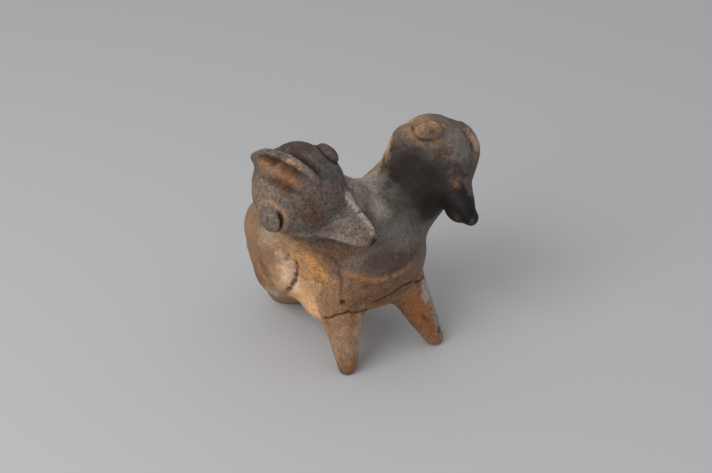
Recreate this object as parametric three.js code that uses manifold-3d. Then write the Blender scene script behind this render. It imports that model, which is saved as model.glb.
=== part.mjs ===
// Double whistle of fired clay: a two-headed crested bird on two legs and its tail
// Millimetres, +Z up, the bird faces -Y and its own right is -X
// The pieces are those a potter forms one by one and lutes together with slip

import * as THREE from "three";
import { mergeVertices } from "three/addons/utils/BufferGeometryUtils.js";
import Module from "manifold-3d";

const wasm = await Module();
wasm.setup();

// Joints, walls and wear
const luteGap = 0.3;
const wallThickness = 4;
const partitionThickness = 3;
const footWear = 0.5;

// Body, an egg with its rear end hanging lower
const bodyOut = -1;
const bodyBack = 14.5;
const bodyHeight = 25.5;
const bodyHalfWidth = 17;
const bodyHalfLength = 19;
const bodyHalfHeight = 15.5;
const bodyTilt = 26;

// Tail, a broad lobe that narrows and bends down to the ground, held in the mouth
const tailRootOut = -2;
const tailRootBack = 7.5;
const tailRootRise = 2.5;
const tailBendOut = -5;
const tailBendRise = 5.5;
const tailBendOver = 1.5;
const tailEndOut = -5;
const tailStandOff = 6;
const tailEndHeight = 2;
const tailRootHalfWidth = 17;
const tailMidHalfWidth = 19.5;
const tailEndHalfWidth = 6.5;
const tailRootHalfThickness = 10;
const tailMidHalfThickness = 9.6;
const tailEndHalfThickness = 4.5;
const mouthSlant = 45;
const mouthCutBack = 0.5;
const mouthReachOut = 9;

// Windway block under the tail, from the belly to the mouth end
const blockRootBack = 10.5;
const blockRootDrop = 9.5;
const blockRootHalfWidth = 14;
const blockRootHalfThickness = 9;

// Voicing of each whistle: a duct up through the tail and a window in the bowl
const ductWidth = 3.8;
const ductHeight = 2;
const ductWall = 1.6;
const windowWidth = 6.5;
const windowLength = 5;
const windowOut = 7;
const windowAngle = 222;
const windowReachOut = 8;
const windowReachIn = 6;

// Necks
const neckRootSink = 10;

// Heads
const headHalfLength = 11.6;
const headHalfWidth = 10.8;
const headHalfHeight = 9.8;

// Beaks
const beakInset = 1.2;
const beakTipRadius = 2.2;

// Crests
const crestInset = 0.6;

// Eye pellets
const eyeRadius = 2.7;
const eyeHalfDepth = 2.4;

// Legs
const legRootSink = 11;
const legRootRadius = 6.6;
const legTipRadius = 2.5;

// Each side as the hand left it: lengths in mm, turns in degrees
const sides = [
  {
    name: "right",
    out: -1,
    neckRootOut: 6,
    neckRootRadius: 12.4,
    neckTopRadius: 10,
    neckWaist: 0.5,
    neckLength: 24.5,
    neckSplay: 34,
    neckLean: 9.5,
    beakTurn: 36,
    beakDrop: 29,
    headRoll: 32,
    beakLength: 22,
    beakFlatness: 0.68,
    crestHalfThickness: 2.1,
    crestRise: 2.6,
    crestSetBack: 3,
    eyeSetUp: 3,
    eyeSetBack: 1,
    legRootOut: 11,
    legRootForward: 8.5,
    footOut: 12,
    footForward: 12.8,
    legLength: 17
  },
  {
    name: "left",
    out: 1,
    neckRootOut: 7,
    neckRootRadius: 12,
    neckTopRadius: 10.5,
    neckWaist: 1,
    neckLength: 22,
    neckSplay: 39.5,
    neckLean: 11.8,
    beakTurn: 8,
    beakDrop: 26,
    headRoll: 60,
    beakLength: 21,
    beakFlatness: 0.85,
    crestHalfThickness: 3,
    crestRise: 1.6,
    crestSetBack: 0,
    eyeSetUp: 1,
    eyeSetBack: 1.5,
    legRootOut: 7,
    legRootForward: 7,
    footOut: 13.6,
    footForward: 15.5,
    legLength: 19
  }
];

// Fineness of the turned and lofted forms
const bodySegments = 32;
const headSegments = 24;
const neckSegments = 24;
const beakSegments = 22;
const legSegments = 20;
const eyeSegments = 16;
const tailSegments = 26;
const tailRings = 11;
const capRings = 5;
const waistRings = 5;
const ringShare = 0.6;

// Colours of the fire-clouded clay
const clays = {
  tan: { color: 0xb08a68, roughness: 0.72, metalness: 0 },
  buff: { color: 0xc2a380, roughness: 0.75, metalness: 0 },
  grey: { color: 0x857a72, roughness: 0.62, metalness: 0 },
  smoked: { color: 0x5c5552, roughness: 0.6, metalness: 0 }
};

const radians = THREE.MathUtils.degToRad;
const point = (x, y, z) => new THREE.Vector3(x, y, z);
const bodyCentre = point(bodyOut, bodyBack, bodyHeight);
const partitionHalf = partitionThickness / 2;
const farAway = 200;

// A closed solid from a geometry, and a geometry back from a solid
function solidOf(geometry) {
  const bare = geometry.clone();
  bare.deleteAttribute("normal");
  bare.deleteAttribute("uv");
  const welded = mergeVertices(bare, 1e-4);
  return new wasm.Manifold(new wasm.Mesh({
    numProp: 3,
    vertProperties: new Float32Array(welded.attributes.position.array),
    triVerts: new Uint32Array(welded.index.array)
  }));
}

function geometryOf(solid) {
  const mesh = solid.getMesh();
  const geometry = new THREE.BufferGeometry();
  geometry.setAttribute("position", new THREE.BufferAttribute(mesh.vertProperties, 3));
  geometry.setIndex(new THREE.BufferAttribute(mesh.triVerts, 1));
  geometry.computeVertexNormals();
  return geometry;
}

// All of space on one side of a plane, as a large block
function beyondPlane(origin, normal) {
  const block = new THREE.BoxGeometry(farAway, farAway, farAway);
  block.translate(0, 0, farAway / 2);
  block.applyQuaternion(new THREE.Quaternion().setFromUnitVectors(point(0, 0, 1), normal));
  block.translate(origin.x, origin.y, origin.z);
  return solidOf(block);
}

// The largest body alone, without the crumbs of a cut
function withoutCrumbs(solid) {
  return solid.decompose().sort((a, b) => b.volume() - a.volume())[0];
}

// What stands on the ground is worn flat there
function wornFlat(solid) {
  return solid.intersect(beyondPlane(point(0, 0, 0), point(0, 0, 1)));
}

// Half the outline of two balls and the cone that touches both
function taperedProfile(distance, startRadius, endRadius) {
  const lean = Math.asin((startRadius - endRadius) / distance);
  const profile = [];
  for (let i = 0; i <= capRings; i++) {
    const a = -Math.PI / 2 + (Math.PI / 2 + lean) * (i / capRings);
    profile.push(new THREE.Vector2(startRadius * Math.cos(a), startRadius * Math.sin(a)));
  }
  for (let i = 0; i <= capRings; i++) {
    const a = lean + (Math.PI / 2 - lean) * (i / capRings);
    profile.push(new THREE.Vector2(endRadius * Math.cos(a), distance + endRadius * Math.sin(a)));
  }
  profile[0].x = 0;
  profile[profile.length - 1].x = 0;
  return profile;
}

// A round form along a line, from half its outline
function turned(profile, start, end, segments) {
  const geometry = new THREE.LatheGeometry(profile, segments);
  const axis = end.clone().sub(start).normalize();
  geometry.applyQuaternion(new THREE.Quaternion().setFromUnitVectors(point(0, 1, 0), axis));
  geometry.translate(start.x, start.y, start.z);
  return solidOf(geometry);
}

// A rolled cone of clay from one ball's centre to another's
function roll(start, end, startRadius, endRadius, segments) {
  const profile = taperedProfile(start.distanceTo(end), startRadius, endRadius);
  return turned(profile, start, end, segments);
}

// A straight slot, its width level and its height square to both
function slot(start, end, width, height) {
  const along = end.clone().sub(start);
  const geometry = new THREE.BoxGeometry(width, along.length(), height);
  along.normalize();
  const level = point(0, 0, 1).cross(along).normalize().negate();
  const axes = new THREE.Matrix4().makeBasis(level, along, level.clone().cross(along));
  geometry.applyMatrix4(axes.setPosition(start.clone().lerp(end, 0.5)));
  return solidOf(geometry);
}

// The egg alone, in its tilted axes
function bodyEgg(grow) {
  const geometry = new THREE.SphereGeometry(1, bodySegments, Math.round(bodySegments * ringShare));
  geometry.rotateX(Math.PI / 2);
  geometry.scale(bodyHalfWidth + grow, bodyHalfLength + grow, bodyHalfHeight + grow);
  geometry.rotateX(radians(-bodyTilt));
  geometry.translate(bodyCentre.x, bodyCentre.y, bodyCentre.z);
  return solidOf(geometry);
}

function legLine(side) {
  const root = point(
    bodyOut + side.out * side.legRootOut,
    bodyBack - side.legRootForward,
    bodyHeight - bodyHalfHeight + legRootSink
  );
  const tip = point(
    bodyOut + side.out * side.footOut,
    bodyBack - side.footForward,
    legTipRadius - footWear
  );
  return { root, tip, axis: root.clone().sub(tip).normalize() };
}

function legRoll(side, grow) {
  const line = legLine(side);
  return roll(line.root, line.tip, legRootRadius + grow, legTipRadius + grow, legSegments);
}

// Where the leg is luted on, a plane square to the leg
function aboveLegSeam(side, offset) {
  const line = legLine(side);
  const seam = line.tip.clone().addScaledVector(line.axis, side.legLength - legTipRadius + offset);
  return beyondPlane(seam, line.axis);
}

// The body's outside, with a hip over each leg
function bodyForm(grow) {
  let form = bodyEgg(grow);
  for (const side of sides) {
    form = form.add(legRoll(side, grow).intersect(aboveLegSeam(side, -grow)));
  }
  return form;
}

// The window's middle on the egg and the way it faces
function windowFrame(side) {
  const angle = radians(windowAngle);
  const across = side.out * windowOut;
  const slim = Math.sqrt(1 - (across / bodyHalfWidth) ** 2);
  const centre = point(
    across,
    -slim * bodyHalfLength * Math.cos(angle),
    slim * bodyHalfHeight * Math.sin(angle)
  );
  const normal = point(
    centre.x / bodyHalfWidth ** 2,
    centre.y / bodyHalfLength ** 2,
    centre.z / bodyHalfHeight ** 2
  );
  const tilt = new THREE.Quaternion().setFromAxisAngle(point(1, 0, 0), radians(-bodyTilt));
  centre.applyQuaternion(tilt).add(bodyCentre);
  normal.applyQuaternion(tilt).normalize();
  return { centre, normal };
}

// From well outside the bowl into its chamber
function windowCut(side) {
  const frame = windowFrame(side);
  const start = frame.centre.clone().addScaledVector(frame.normal, windowReachOut);
  const end = frame.centre.clone().addScaledVector(frame.normal, -windowReachIn);
  return slot(start, end, windowWidth, windowLength);
}

// Each bowl is half the body, open towards the partition
function bowl(side, form, chamber) {
  const face = point(bodyOut + side.out * (partitionHalf + luteGap), 0, 0);
  const half = form.subtract(chamber).intersect(beyondPlane(face, point(side.out, 0, 0)));
  return half.subtract(windowCut(side));
}

function partition(form) {
  const low = beyondPlane(point(bodyOut - partitionHalf, 0, 0), point(1, 0, 0));
  const high = beyondPlane(point(bodyOut + partitionHalf, 0, 0), point(-1, 0, 0));
  return form.intersect(low).intersect(high);
}

function mouthPoint() {
  return point(
    bodyOut + tailEndOut,
    bodyBack + bodyHalfLength + tailStandOff,
    tailEndHeight
  );
}

// Stations along a bent axis, with a round cap at each end
function loftStations() {
  const quarter = Math.PI / 2;
  const stations = [];
  for (let i = 0; i <= capRings; i++) {
    const a = quarter * i / capRings;
    stations.push({ t: 0, size: Math.sin(a), push: -Math.cos(a) });
  }
  for (let i = 1; i < tailRings; i++) {
    stations.push({ t: i / tailRings, size: 1, push: 0 });
  }
  for (let i = capRings; i >= 0; i--) {
    const a = quarter * i / capRings;
    stations.push({ t: 1, size: Math.sin(a), push: Math.cos(a) });
  }
  return stations;
}

// Oval sections along a bent axis, their half sizes given at its root, bend and end
function ovalLoft(axis, widths, depths) {
  const blend = (list, t) => list[0] * (1 - t) ** 2 + list[1] * 2 * t * (1 - t) + list[2] * t * t;
  const spots = [];
  const stations = loftStations();
  for (const station of stations) {
    const along = axis.getTangent(station.t);
    const across = point(1, 0, 0).addScaledVector(along, -along.x).normalize();
    const rise = along.clone().cross(across);
    const width = blend(widths, station.t);
    const depth = blend(depths, station.t);
    for (let k = 0; k < tailSegments; k++) {
      const a = 2 * Math.PI * k / tailSegments;
      spots.push(axis.getPoint(station.t)
        .addScaledVector(along, station.push * depth)
        .addScaledVector(across, station.size * width * Math.cos(a))
        .addScaledVector(rise, station.size * depth * Math.sin(a)));
    }
  }
  const index = [];
  for (let i = 0; i < stations.length - 1; i++) {
    for (let k = 0; k < tailSegments; k++) {
      const a = i * tailSegments + k;
      const b = i * tailSegments + (k + 1) % tailSegments;
      index.push(a, b, a + tailSegments, b, b + tailSegments, a + tailSegments);
    }
  }
  const geometry = new THREE.BufferGeometry().setFromPoints(spots);
  geometry.setIndex(index);
  return solidOf(geometry);
}

function tailLobe() {
  const end = mouthPoint();
  const root = bodyCentre.clone().add(point(tailRootOut, tailRootBack, tailRootRise));
  const bend = point(bodyOut + tailBendOut, end.y + tailBendOver, bodyHeight + tailBendRise);
  return ovalLoft(
    new THREE.QuadraticBezierCurve3(root, bend, end),
    [tailRootHalfWidth, tailMidHalfWidth, tailEndHalfWidth],
    [tailRootHalfThickness, tailMidHalfThickness, tailEndHalfThickness]
  );
}

function windwayBlock() {
  const end = mouthPoint();
  const root = bodyCentre.clone().add(point(tailRootOut, blockRootBack, -blockRootDrop));
  const middleWidth = (blockRootHalfWidth + tailEndHalfWidth) / 2;
  const middleThickness = (blockRootHalfThickness + tailEndHalfThickness) / 2;
  return ovalLoft(
    new THREE.LineCurve3(root, end),
    [blockRootHalfWidth, middleWidth, tailEndHalfWidth],
    [blockRootHalfThickness, middleThickness, tailEndHalfThickness]
  );
}

// From the mouth face up to the window's edge
function ductCut(side) {
  const lip = windowFrame(side).centre;
  const mouth = mouthPoint();
  mouth.x += side.out * (ductWidth + ductWall) / 2;
  const outwards = mouth.clone().sub(lip).normalize();
  mouth.addScaledVector(outwards, mouthReachOut);
  return slot(lip, mouth, ductWidth, ductHeight);
}

// The mouth end is cut slanting, and both ducts open in it
function tail(clearances) {
  let lobe = tailLobe().add(windwayBlock());
  for (const clearance of clearances) {
    lobe = lobe.subtract(clearance);
  }
  const slant = radians(mouthSlant);
  const mouthNormal = point(0, Math.sin(slant), -Math.cos(slant));
  const mouthFace = mouthPoint().addScaledVector(mouthNormal, mouthCutBack);
  lobe = lobe.subtract(beyondPlane(mouthFace, mouthNormal));
  for (const side of sides) {
    lobe = lobe.subtract(ductCut(side)).subtract(windowCut(side));
  }
  return wornFlat(lobe);
}

// The head's own axes: beak forward, eye to its own left, crown up
function headAxes(side) {
  const turn = radians(side.beakTurn);
  const drop = radians(side.beakDrop);
  const tip = radians(side.headRoll);
  const beak = point(
    -side.out * Math.sin(turn) * Math.cos(drop),
    -Math.cos(turn) * Math.cos(drop),
    -Math.sin(drop)
  );
  const level = point(Math.cos(turn), -side.out * Math.sin(turn), 0);
  const upright = beak.clone().cross(level);
  const eye = level.multiplyScalar(Math.cos(tip)).addScaledVector(upright, -side.out * Math.sin(tip));
  return { beak, eye, crown: beak.clone().cross(eye) };
}

function neckRoot(side) {
  const top = bodyHeight + bodyHalfHeight - neckRootSink;
  return point(bodyOut + side.out * side.neckRootOut, bodyBack, top);
}

function headCentre(side) {
  const splay = radians(side.neckSplay);
  const lean = radians(side.neckLean);
  const along = point(
    side.out * Math.sin(splay) * Math.cos(lean),
    -Math.sin(lean),
    Math.cos(splay) * Math.cos(lean)
  );
  return neckRoot(side).addScaledVector(along, side.neckLength);
}

// Puts a form drawn in the head's axes (x eye, y back, z crown) on its neck
function onHead(geometry, side) {
  const axes = headAxes(side);
  const place = new THREE.Matrix4().makeBasis(axes.eye, axes.beak.clone().negate(), axes.crown);
  geometry.applyMatrix4(place.setPosition(headCentre(side)));
  return solidOf(geometry);
}

function head(side, grow) {
  const geometry = new THREE.SphereGeometry(1, headSegments, Math.round(headSegments * ringShare));
  geometry.scale(headHalfWidth + grow, headHalfLength + grow, headHalfHeight + grow);
  return onHead(geometry, side);
}

// The two necks meet over the partition, each drawn in to a waist
function neck(side, grow) {
  const start = neckRoot(side);
  const top = side.neckTopRadius + grow;
  const profile = taperedProfile(side.neckLength, side.neckRootRadius + grow, top);
  const flank = [];
  for (let i = 1; i < waistRings; i++) {
    const spot = profile[capRings].clone().lerp(profile[capRings + 1], i / waistRings);
    spot.x -= side.neckWaist * Math.sin(Math.PI * i / waistRings);
    flank.push(spot);
  }
  profile.splice(capRings + 1, 0, ...flank);
  const end = headCentre(side);
  const whole = turned(profile, start, end, neckSegments);
  const face = point(bodyOut + side.out * (luteGap / 2 - grow), 0, 0);
  const halfNeck = whole.intersect(beyondPlane(face, point(side.out, 0, 0)));
  return halfNeck.intersect(beyondPlane(end, start.clone().sub(end).normalize()));
}

function beak(side, grow) {
  const base = headHalfWidth - beakInset + grow;
  const profile = taperedProfile(side.beakLength - beakTipRadius, base, beakTipRadius + grow);
  const geometry = new THREE.LatheGeometry(profile, beakSegments);
  geometry.scale(1, 1, side.beakFlatness);
  geometry.rotateZ(Math.PI);
  return onHead(geometry, side);
}

// A comb of clay over the crown
function crest(side) {
  const geometry = new THREE.SphereGeometry(1, headSegments, Math.round(headSegments * ringShare));
  geometry.scale(side.crestHalfThickness, headHalfLength - crestInset, headHalfHeight + side.crestRise);
  geometry.translate(0, side.crestSetBack, 0);
  return onHead(geometry, side).intersect(beyondPlane(headCentre(side), headAxes(side).crown));
}

function eye(side, which) {
  const geometry = new THREE.SphereGeometry(1, eyeSegments, Math.round(eyeSegments * ringShare));
  geometry.scale(eyeHalfDepth, eyeRadius, eyeRadius);
  const raised = side.eyeSetUp / headHalfHeight;
  const back = side.eyeSetBack / headHalfLength;
  const seat = Math.sqrt(1 - raised ** 2 - back ** 2) * headHalfWidth;
  geometry.translate(which * seat, side.eyeSetBack, side.eyeSetUp);
  return onHead(geometry, side);
}

const group = new THREE.Group();

function addPiece(name, solid, finish) {
  const mesh = new THREE.Mesh(geometryOf(solid), new THREE.MeshStandardMaterial(clays[finish]));
  mesh.name = name;
  group.add(mesh);
}

const body = bodyForm(0);
const bodyClear = bodyForm(luteGap);
const chamber = bodyEgg(-wallThickness);
const neckClears = sides.map(side => neck(side, luteGap));

addPiece("chamber_partition", partition(body), "tan");
addPiece("tail_mouthpiece", tail([bodyClear, ...neckClears]), "buff");

sides.forEach((side, i) => {
  const headClear = head(side, luteGap);
  const leg = legRoll(side, 0).subtract(aboveLegSeam(side, -luteGap)).subtract(bodyEgg(luteGap));
  const onFace = solid => solid.subtract(headClear).subtract(neckClears[i]);
  const comb = onFace(crest(side)).subtract(beak(side, luteGap));
  addPiece(`${side.name}_body_bowl`, bowl(side, body, chamber), "tan");
  addPiece(`${side.name}_leg`, wornFlat(leg), "tan");
  const bareNeck = withoutCrumbs(neck(side, 0).subtract(bodyClear).subtract(headClear));
  addPiece(`${side.name}_neck`, bareNeck, "smoked");
  addPiece(`${side.name}_head`, head(side, 0), "grey");
  addPiece(`${side.name}_beak`, onFace(beak(side, 0)), "smoked");
  addPiece(`${side.name}_crest`, comb, "grey");
  addPiece(`${side.name}_head_outer_eye`, onFace(eye(side, side.out)), "grey");
  addPiece(`${side.name}_head_inner_eye`, onFace(eye(side, -side.out)), "buff");
});

// The origin is under the middle of the whole
const bounds = new THREE.Box3().setFromObject(group);
group.position.x = -(bounds.min.x + bounds.max.x) / 2;
group.position.y = -(bounds.min.y + bounds.max.y) / 2;

export default group;
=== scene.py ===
import bpy
import numpy as np
from math import cos, radians, sin
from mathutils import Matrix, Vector, noise


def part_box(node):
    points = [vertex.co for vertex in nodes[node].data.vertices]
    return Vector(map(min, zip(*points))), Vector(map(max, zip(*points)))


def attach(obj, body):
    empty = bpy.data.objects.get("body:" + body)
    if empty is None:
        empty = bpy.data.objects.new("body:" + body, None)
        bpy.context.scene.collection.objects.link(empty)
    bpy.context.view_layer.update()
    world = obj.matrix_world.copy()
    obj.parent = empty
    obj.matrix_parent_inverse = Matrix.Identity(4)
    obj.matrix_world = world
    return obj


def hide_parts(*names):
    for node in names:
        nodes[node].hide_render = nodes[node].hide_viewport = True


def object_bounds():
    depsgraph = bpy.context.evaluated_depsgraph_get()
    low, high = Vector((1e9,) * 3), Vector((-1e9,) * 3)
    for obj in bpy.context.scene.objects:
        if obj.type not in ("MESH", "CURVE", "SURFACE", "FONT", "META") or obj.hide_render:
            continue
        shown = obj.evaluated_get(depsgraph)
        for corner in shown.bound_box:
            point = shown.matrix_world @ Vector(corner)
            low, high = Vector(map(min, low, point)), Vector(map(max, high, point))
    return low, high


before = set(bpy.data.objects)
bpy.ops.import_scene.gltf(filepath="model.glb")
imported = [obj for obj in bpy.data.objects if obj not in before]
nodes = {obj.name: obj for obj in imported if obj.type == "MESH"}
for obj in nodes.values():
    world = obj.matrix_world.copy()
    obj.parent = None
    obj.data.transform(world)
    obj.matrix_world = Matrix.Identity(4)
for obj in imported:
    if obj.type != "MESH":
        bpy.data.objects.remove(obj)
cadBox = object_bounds()
mm = 0.001


def at(spot):
    return Vector(spot) * mm


def deselectAll():
    if bpy.context.object and bpy.context.object.mode != "OBJECT":
        bpy.ops.object.mode_set(mode="OBJECT")
    bpy.ops.object.select_all(action="DESELECT")


def pick(piece):
    deselectAll()
    piece.select_set(True)
    bpy.context.view_layer.objects.active = piece


def finishModifier(piece, kind, **settings):
    pick(piece)
    modifier = piece.modifiers.new(kind.title(), kind)
    for name, value in settings.items():
        setattr(modifier, name, value)
    bpy.ops.object.modifier_apply(modifier=modifier.name)


def throwAway(*pieces):
    for piece in pieces:
        bpy.data.objects.remove(piece)


def middle(node):
    low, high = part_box(node)
    return (Vector(low) + Vector(high)) / 2


# Camera, in mm and degrees
camera = {
    "place": (-161.4, -234.4, 203.0),
    "azimuth": -35.0,
    "downwards": 31.65,
    "lens": 66.24,
    "sensor": 36,
}


def setCamera():
    bpy.ops.object.camera_add(
        location=at(camera["place"]),
        rotation=(radians(90 - camera["downwards"]), 0, radians(camera["azimuth"])),
    )
    viewer = bpy.context.object
    viewer.name = "photoCamera"
    viewer.data.lens = camera["lens"]
    viewer.data.sensor_width = camera["sensor"]
    viewer.data.sensor_fit = "HORIZONTAL"
    viewer.data.clip_start = 0.01
    bpy.context.scene.camera = viewer


setCamera()

# The clay, in mm. More crease passes fill the joins further, and after every few of them, lookAgain,
# the way each spot faces is found anew
clay = {
    "voxel": 0.3,
    "overlap": 0.25,
    "evenPasses": 7,
    "evenPull": 0.5,
    "creasePasses": 120,
    "creasePull": 0.85,
    "lookAgain": 10,
    "lastPasses": 2,
    "margin": 0.01,
}
# Unevenness of clay shaped by hand: how high and how wide its swells are, in mm
unevenness = {
    "swells": {"height": 0.2, "width": 7.0},
    "ripples": {"height": 0.05, "width": 1.4},
    "finer": 2.7,
    "finerShare": 0.4,
}
egg = {
    "filler": (16.2, 18.2, 14.7),
    "chamber": (13.0, 15.0, 11.5),
    "tilt": -26.0,
    "partition": 3.0,
}
# Lumps of clay that thicken the joins: middle, half sizes and the way the third one points
lumps = {
    "saddle": {"where": (0.5, -5.5, 39.7), "half": (8.5, 8.5, 6.0)},
    "haunch": {"where": (-9.5, -3.0, 13.5), "half": (5.5, 9.0, 5.5)},
    "flank": {"where": (-8.5, 4.0, 17.5), "half": (8.0, 9.0, 8.0)},
    "tailFill": {"where": (-11.2, 10.3, 20.0), "half": (7.4, 11.5, 10.5)},
    "crestEnd": {"where": (-25.2, -2.9, 59.7), "half": (2.0, 2.3, 2.0)},
    "crown": {"where": (-18.4, -6.7, 56.3), "half": (7.0, 7.5, 6.4)},
    "nape": {"where": (-13.2, -11.2, 54.2), "half": (4.1, 4.1, 4.1)},
    "leftNape": {"where": (13.8, -7.0, 52.2), "half": (5.2, 5.3, 6.4)},
    "leftNapeLow": {"where": (10.9, -7.2, 47.0), "half": (5.0, 5.0, 7.6)},
    "leftBeakRoot": {"where": (17.7, -21.6, 39.2), "half": (2.6, 4.3, 2.5)},
    "leftBeakTip": {"where": (19.9, -24.3, 38.3), "half": (2.3, 2.5, 2.4)},
    "tailTop": {"where": (-13.2, 13.4, 27.2), "half": (7.3, 10.6, 9.5)},
    "tailLow": {"where": (-11.3, 15.5, 14.5), "half": (6.5, 8.0, 8.5)},
    "rightShin": {"where": (-11.7, -16.3, 6.0), "half": (3.3, 3.3, 5.9)},
    "rightCheek": {"where": (-6.4, -9.2, 47.4), "half": (5.0, 3.6, 9.4), "facing": (0.8, 0.3, -0.62)},
}
# Eye pellets, pressed flat
pellets = {
    "rightOuter": {"where": (-29.2, -11.3, 48.1), "facing": (-0.9, -0.4, -0.12), "half": (3.8, 4.0, 1.7)},
    "rightInner": {"where": (-10.6, -7.5, 58.0), "facing": (0.6, -0.22, 0.77), "half": (4.2, 3.4, 1.9)},
    "leftInner": {"where": (17.0, -10.8, 57.0), "facing": (-0.3, -0.3, 0.9), "half": (3.8, 3.1, 1.9)},
    "leftOuter": {"where": (27.6, -4.2, 41.6), "facing": (0.55, 0.31, -0.78), "half": (3.2, 3.0, 1.8)},
}
eggMiddle = middle("chamber_partition")


def copyOfNodes(names, newName, grow):
    deselectAll()
    for name in names:
        piece = bpy.data.objects.new(newName, nodes[name].data.copy())
        bpy.context.scene.collection.objects.link(piece)
        piece.select_set(True)
        bpy.context.view_layer.objects.active = piece
    if len(names) > 1:
        bpy.ops.object.join()
    piece = bpy.context.object
    piece.name = newName
    piece.data.name = newName
    piece.data.materials.clear()
    bpy.ops.object.mode_set(mode="EDIT")
    bpy.ops.mesh.select_all(action="SELECT")
    bpy.ops.mesh.remove_doubles(threshold=0.01 * mm)
    bpy.ops.object.mode_set(mode="OBJECT")
    finishModifier(piece, "DISPLACE", strength=grow * mm, mid_level=0)
    return piece


def settle(piece):
    pick(piece)
    bpy.ops.object.transform_apply(location=True, rotation=True, scale=True)


def addEgg(name, half, where=eggMiddle, turn=(radians(egg["tilt"]), 0, 0)):
    deselectAll()
    bpy.ops.mesh.primitive_uv_sphere_add(
        segments=48, ring_count=32, radius=1, location=where, rotation=turn, scale=at(half))
    piece = bpy.context.object
    piece.name = name
    settle(piece)
    return piece


def addLump(name, lump):
    turn = (0, 0, 0)
    if "facing" in lump:
        turn = Vector(lump["facing"]).to_track_quat("Z", "Y").to_euler()
    return addEgg(name, lump["half"], at(lump["where"]), turn)


def addSlot(name, start, end, width, height):
    along = end - start
    deselectAll()
    bpy.ops.mesh.primitive_cube_add(
        size=1, location=(start + end) / 2,
        rotation=along.to_track_quat("Y", "Z").to_euler(),
        scale=(width * mm, along.length, height * mm),
    )
    piece = bpy.context.object
    piece.name = name
    settle(piece)
    return piece


def merge(whole, *others):
    deselectAll()
    for piece in (*others, whole):
        piece.select_set(True)
    bpy.context.view_layer.objects.active = whole
    bpy.ops.object.join()
    return whole


def knead(piece, voxel):
    finishModifier(piece, "REMESH", mode="VOXEL", voxel_size=voxel * mm, use_smooth_shade=True)


def cutOut(piece, tool):
    finishModifier(piece, "BOOLEAN", operation="DIFFERENCE", solver="MANIFOLD", object=tool)
    throwAway(tool)


# Keeps what lies inside a cutter
def keepInside(piece, cutter):
    finishModifier(piece, "BOOLEAN", operation="INTERSECT", solver="MANIFOLD", object=cutter)
    throwAway(cutter)


# Hand work on a mesh's vertices, kept as arrays while it lasts
def takeInHand(piece):
    mesh = piece.data
    places = np.empty(len(mesh.vertices) * 3)
    mesh.vertices.foreach_get("co", places)
    return places.reshape(-1, 3) / mm


def putBack(piece, places):
    piece.data.vertices.foreach_set("co", (places * mm).ravel())
    piece.data.update()


def outwards(piece, places):
    putBack(piece, places)
    facing = np.empty(len(places) * 3)
    piece.data.vertex_normals.foreach_get("vector", facing)
    return facing.reshape(-1, 3)


def neighbours(piece):
    ends = np.empty(len(piece.data.edges) * 2, dtype=np.int64)
    piece.data.edges.foreach_get("vertices", ends)
    return ends.reshape(-1, 2).T


def pullToNeighbours(places, ends):
    first, second = ends
    count = np.bincount(ends.ravel(), minlength=len(places))[:, None]
    total = np.stack([
        np.bincount(first, places[second, axis], len(places))
        + np.bincount(second, places[first, axis], len(places))
        for axis in range(3)
    ], axis=1)
    return total / count - places


# Smooths the clay, or with onlyFill fills its creases and leaves the rest
def smoothClay(piece, passes, onlyFill=False):
    places = takeInHand(piece)
    ends = neighbours(piece)
    facing = outwards(piece, places)
    for turn in range(passes):
        pull = pullToNeighbours(places, ends)
        if onlyFill:
            if (turn + 1) % clay["lookAgain"] == 0:
                facing = outwards(piece, places)
            hollow = (pull * facing).sum(1) > 0
            places += pull * (clay["creasePull"] * hollow)[:, None]
        else:
            places += pull * clay["evenPull"]
    putBack(piece, places)


# How marks are made: a groove's and a smear's half width and how far both reach, as shares of the
# mark's width, how far a dab reaches, as a share of its radius, how roundly a mark fades out, and
# how often the hand trembles in a mm
hand = {
    "groove": 0.5, "smear": 0.6, "reach": 1.5, "dabReach": 2.0, "fadeRound": 0.6, "tremble": 0.8,
}


# Lays a line of spots on the clay, with the unsteadiness of a hand
def layOn(places, line, unsteady):
    laid = []
    for start, end in zip(line, line[1:]):
        start, end = Vector(start), Vector(end)
        steps = max(1, round((end - start).length))
        for i in range(steps + 1):
            spot = start.lerp(end, i / steps)
            spot = np.array(spot + noise.noise_vector(spot * hand["tremble"]) * unsteady)
            laid.append(places[((places - spot) ** 2).sum(1).argmin()])
    return laid


# How far each vertex is from a laid line, and how far along it lies
def fromLine(places, line):
    best = np.full(len(places), 1e9)
    along = np.zeros(len(places))
    for i, (start, end) in enumerate(zip(line, line[1:])):
        step = end - start
        length = step @ step
        if length < 1e-9:
            continue
        share = np.clip(((places - start) @ step) / length, 0, 1)
        gap = np.linalg.norm(places - start - share[:, None] * step, axis=1)
        closer = gap < best
        best[closer] = gap[closer]
        along[closer] = (i + share[closer]) / (len(line) - 1)
    return best, along


# Which vertices lie within reach of any of the spots' box
def within(places, spots, reach):
    spots = np.array(spots)
    low, high = spots.min(0) - reach, spots.max(0) + reach
    return np.flatnonzero(((places > low) & (places < high)).all(1))


# Rubs one kind into the clay, slip, wear with painted highlight, and grime with painted shade: what each
# vertex holds of it, from 0 to 1
def rub(kind, near, amount):
    rubbed[kind][near] = np.clip(rubbed[kind][near] + amount, 0, 1)


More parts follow.
